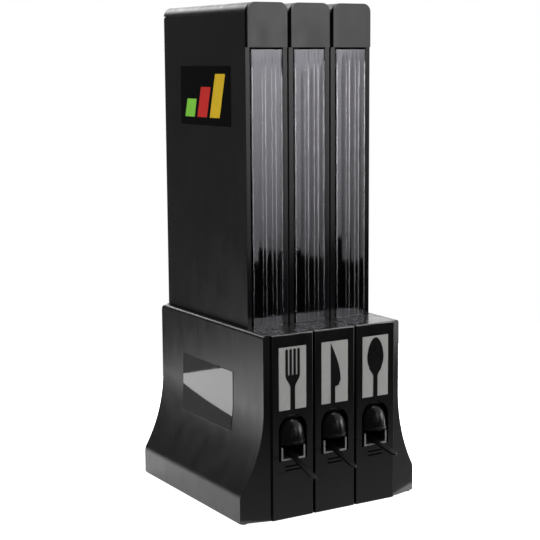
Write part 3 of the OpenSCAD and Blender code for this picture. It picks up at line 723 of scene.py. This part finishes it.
def window(name):
    """Clear sheet with shallow saw-toothed ribs that fade near its top, on its side flanges."""
    low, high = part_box(f"{name}_window")
    middle = centre_x(name)
    high = high - Vector((0, 0, WINDOW_HEADROOM))
    front = low.y + RIB_OUT
    bm = bmesh.new()
    bmesh.ops.create_grid(
        bm, x_segments=SHEET_GRID[0], y_segments=SHEET_GRID[1], size=0.5,
        matrix=Matrix.Translation((middle, front, (low.z + high.z) / 2))
        @ Matrix.Rotation(math.radians(90), 4, "X")
        @ Matrix.Diagonal((2 * SHEET_HALF_WIDTH, high.z - low.z, 1, 1)),
    )
    sheet_faces = list(bm.faces)
    for vert in bm.verts:
        vert.co.y = front - sheet_front(vert.co.x - middle, high.z - vert.co.z)
    back = bmesh.ops.extrude_face_region(bm, geom=sheet_faces)
    for vert in (v for v in back["geom"] if isinstance(v, bmesh.types.BMVert)):
        vert.co.y = front + SHEET_THICK
    tidy(bm)
    if bm.calc_volume(signed=True) < 0:
        bmesh.ops.reverse_faces(bm, faces=bm.faces)
    for side in (-1, 1):
        edge = middle + side * SHEET_HALF_WIDTH
        web = sorted((edge, edge - side * SHEET_THICK))
        catch = sorted((edge, middle + side * (high.x - low.x) / 2))
        add_box(bm, (web[0], front + SHEET_THICK, low.z), (web[1], high.y, high.z))
        add_box(bm, (catch[0], high.y - SHEET_THICK, low.z), (catch[1], high.y, high.z))
    add_piece(
        f"{name}_window_sheet", bm, [FINISHES["clear_plastic"]], "housing", f"{name}_window"
    )


LIP_RADIUS, LIP_THICK, LIP_ROUND = 0.020, 0.0035, 0.0009
DOME_RADIUS, DOME_WALL, DOME_HEADROOM = 0.0192, 0.002, 0.0015
# The power of the dome's outline: 2 is an ellipse, and more is fuller
DOME_FULLNESS = 2.3
# Dome and lip end this far behind their axis
DOME_BACK = 0.002
HUB_RADIUS, HUB_REACH = 0.0042, 0.0138
# From the pivot to the pin that drives the slide
DRIVE = Vector((0, 0.015, 0.036))
DRIVE_RADIUS, DRIVE_REACH = 0.002, 0.0088
ARM_HALF_WIDTH, ARM_THICK = 0.004, 0.006
# Where the spring's seat starts and ends along the arm, and how far it reaches to the right
SEAT_SHARES = (0.23, 0.38)
SEAT_REACH = 0.017


def dome(middle, axis_y, low_z, high_z):
    """The egg-shaped shell of a lever, open at its foot and its back."""
    foot = Vector((middle, axis_y, low_z))
    swell = Matrix.Diagonal((DOME_RADIUS, DOME_RADIUS, high_z - low_z, 1))
    bm = bmesh.new()
    bmesh.ops.create_uvsphere(
        bm, u_segments=72, v_segments=36, radius=1, matrix=Matrix.Translation(foot) @ swell
    )
    cut(bm, (0, 0, low_z), (0, 0, -1))
    cut(bm, (0, axis_y + DOME_BACK, 0), (0, 1, 0))
    for vert in bm.verts:
        rise = min(1, (vert.co.z - low_z) / (high_z - low_z))
        plain = math.sqrt(max(1e-9, 1 - rise ** 2))
        full = (1 - rise ** DOME_FULLNESS) ** (1 / DOME_FULLNESS) if rise < 1 else 0
        if rise > 1e-6 and plain > 1e-4:
            vert.co.x = middle + (vert.co.x - middle) * full / plain
            vert.co.y = axis_y + (vert.co.y - axis_y) * full / plain
    tidy(bm)
    if sum(face.normal.dot(face.calc_center_median() - foot) for face in bm.faces) < 0:
        bmesh.ops.reverse_faces(bm, faces=bm.faces)
    bmesh.ops.solidify(bm, geom=bm.faces[:], thickness=DOME_WALL)
    return bm


def lip(middle, axis_y, low_z, high_z):
    """The thick half ring round a dome's foot."""
    bm = bmesh.new()
    inner = DOME_RADIUS - DOME_WALL
    section = bm.faces.new([
        bm.verts.new((middle + r, axis_y, z))
        for r, z in ((inner, low_z), (LIP_RADIUS, low_z), (LIP_RADIUS, high_z), (inner, high_z))
    ])
    bmesh.ops.spin(
        bm, geom=[section, *section.verts, *section.edges], cent=(middle, axis_y, 0),
        axis=(0, 0, 1), angle=math.tau, steps=96, use_merge=True, use_duplicate=False,
    )
    # The section itself is left inside the full ring
    bmesh.ops.delete(bm, geom=[
        f for f in bm.faces
        if abs(f.normal.y) > 0.999 and len(f.verts) == 4
        and abs(f.calc_center_median().y - axis_y) < 1e-6
    ], context="FACES_ONLY")
    tidy(bm)
    cut(bm, (0, axis_y + DOME_BACK, 0), (0, 1, 0))
    bmesh.ops.holes_fill(bm, edges=[e for e in bm.edges if e.is_boundary], sides=0)
    tidy(bm)
    round_edges(bm, LIP_ROUND, 4, 60)
    return bm


def lever(name):
    """Push lever: egg-shaped dome on a thick lip, hub, arm, drive pin and the spring's seat."""
    low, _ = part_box(f"{name}_lever")
    pivot = HINGE_OF[f"{name}_lever_body"]
    middle = centre_x(name)
    axis_y = low.y + LIP_RADIUS
    dome_low = low.z + LIP_THICK
    bm = dome(middle, axis_y, dome_low, pivot.z - DOME_HEADROOM)
    join(bm, lip(middle, axis_y, low.z, dome_low))
    parts = bmesh.new()
    hub = (Vector((x, pivot.y, pivot.z)) for x in (low.x, middle + HUB_REACH))
    add_rod(parts, *hub, HUB_RADIUS, sides=48)
    drive = Vector((middle, pivot.y, pivot.z)) + DRIVE
    aside = Vector((DRIVE_REACH, 0, 0))
    add_rod(parts, drive - aside, drive + aside, DRIVE_RADIUS, sides=32)
    add_bar(parts, (middle - ARM_HALF_WIDTH, middle + ARM_HALF_WIDTH), pivot, drive, ARM_THICK)
    seat = (pivot + (drive - pivot) * share for share in SEAT_SHARES)
    add_bar(parts, (middle, middle + SEAT_REACH), *seat, ARM_THICK)
    round_edges(parts, 0.0004, 2)
    join(bm, parts)
    add_piece(
        f"{name}_lever_dome", bm, [FINISHES["lever_black"]], f"{name}_lever_body", f"{name}_lever"
    )


def looks_forward(face):
    """Whether a face looks to the front."""
    return face.normal.y < -0.9


def front_of(node, depth):
    """A test for the faces that look forward, no deeper than this behind the node's front."""
    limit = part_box(node)[0].y + depth
    return lambda face: looks_forward(face) and face.calc_center_median().y < limit


def looks_up(face):
    """Whether a face looks up."""
    return face.normal.z > 0.9


TINES = 4
TINE_END = 0.0012
TINE_NARROWING = 0.4


def pointed_tines(bm, low, high):
    """Narrows the ends of a fork symbol's tines."""
    ends = sorted((v for v in bm.verts if v.co.z > high.z - TINE_END), key=lambda v: v.co.x)
    share = len(ends) // TINES
    for start in range(0, share * TINES, share):
        tine = ends[start:start + share]
        middle = (tine[0].co.x + tine[-1].co.x) / 2
        for vert in tine:
            vert.co.x = middle + (vert.co.x - middle) * TINE_NARROWING


HANDLE_NARROWING = 0.85


def slimmer_handle(bm, low, high):
    """Narrows the part of a handle that stands out of its mouth."""
    middle = (low.x + high.x) / 2
    for vert in bm.verts:
        if vert.co.y < FACE_Y:
            vert.co.x = middle + (vert.co.x - middle) * HANDLE_NARROWING


def column(name):
    """The dressed pieces of one column."""
    jambs = front_of(f"{name}_hopper", 0.006)
    # The forward faces at the chute's mouth get the pale painted highlight
    painted_highlight_rim = front_of(f"{name}_chute", 0.001)
    cover = {"finish": GLOSSY_BLACK, "radius": 0.00035, "segments": 3, "keen": 0.00015}
    dress(f"{name}_hopper", radius=0.0005, second=JAMB_BLACK, where=jambs)
    window(name)
    dress(f"{name}_lid", LID_BLACK, radius=0.0018, segments=5)
    dress(f"{name}_front_cover", second=LEDGE_BLACK, where=looks_up, **cover)
    dress(f"{name}_lower_cover", **cover)
    dress(f"{name}_label_plate", radius=0.0002)
    tines = pointed_tines if name == "fork" else None
    dress(f"{name}_symbol", radius=0.00008, over=60, reshape=tines)
    lever(name)
    dress(f"{name}_chute", second=RIM_PAINTED_HIGHLIGHT, where=painted_highlight_rim)
    dress(f"{name}_piece", radius=0.0006, segments=3, reshape=slimmer_handle)


# ---------- housing ----------

# The bars' finishes, and where they start, how wide and how high they are as shares of the panel
BARS = ((BAR_GREEN, 0.0, 0.24, 0.42), (BAR_RED, 0.31, 0.24, 0.7), (BAR_AMBER, 0.62, 0.24, 1.0))
# From the bars to the panel's ends and to its top and foot
BAR_MARGIN_Y, BAR_MARGIN_Z = 0.012, 0.010
BAR_OUT, BAR_IN, BAR_ROUND = 0.00008, 0.0002, 0.0012
BAR_SLANT = 0.28


def runs_across(edge):
    """Whether an edge runs through a bar's thickness."""
    start, end = (vert.co for vert in edge.verts)
    return abs(start.x - end.x) > BAR_IN


def bars(node):
    """Slanted bars on a panel of the left side."""
    low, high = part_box(node)
    back, foot = high.y - BAR_MARGIN_Y, low.z + BAR_MARGIN_Z
    length = high.y - low.y - 2 * BAR_MARGIN_Y
    height = high.z - low.z - 2 * BAR_MARGIN_Z
    for number, (finish, start, wide, rise) in enumerate(BARS, 1):
        bm = bmesh.new()
        add_box(
            bm, (low.x - BAR_OUT, back - length * (start + wide), foot),
            (low.x + BAR_IN, back - length * start, foot + height * rise),
        )
        for vert in bm.verts:
            vert.co.y -= (vert.co.z - foot) * BAR_SLANT
        round_edges(bm, BAR_ROUND, 4, where=runs_across)
        add_piece(f"{node}_bar_{number}", bm, [finish], "housing", slot=SLOT_OF[node])


CREASE_SOFTNESS = 0.0045
CREASE_ABOVE = 0.02


def soft_crease(bm, low, high):
    """Rounds the crease between a side cover's flare and its foot band."""
    reach = max(abs(low.x), abs(high.x)) - 2e-5
    bevel(bm, [
        e for e in bm.edges
        if e.is_manifold and e.calc_face_angle(0) > math.radians(10)
        and abs(e.verts[0].co.y - e.verts[1].co.y) > 1e-5
        and all(abs(v.co.x) > reach and v.co.z > low.z + CREASE_ABOVE for v in e.verts)
    ], CREASE_SOFTNESS, 8)


def housing():
    """The dressed pieces of the housing, but for the columns' own."""
    for side in ("left", "right"):
        dress(
            f"{side}_side_cover", radius=0.0009, segments=4, over=22,
            second=GLOSSY_BLACK, where=looks_forward, keen=0.00012, reshape=soft_crease,
        )
    dress("rear_cover")
    dress("cover_screws", radius=0.0003)
    dress("tower_badge", radius=0.0002)
    bars("tower_badge")
    dress("base_label", radius=0.0002)


housing()
for name in NAMES:
    column(name)
for node, thing in frame["nodes"].items():
    thing.data.materials.clear()
    thing.data.materials.append(FINISHES[SLOT_OF[node]])
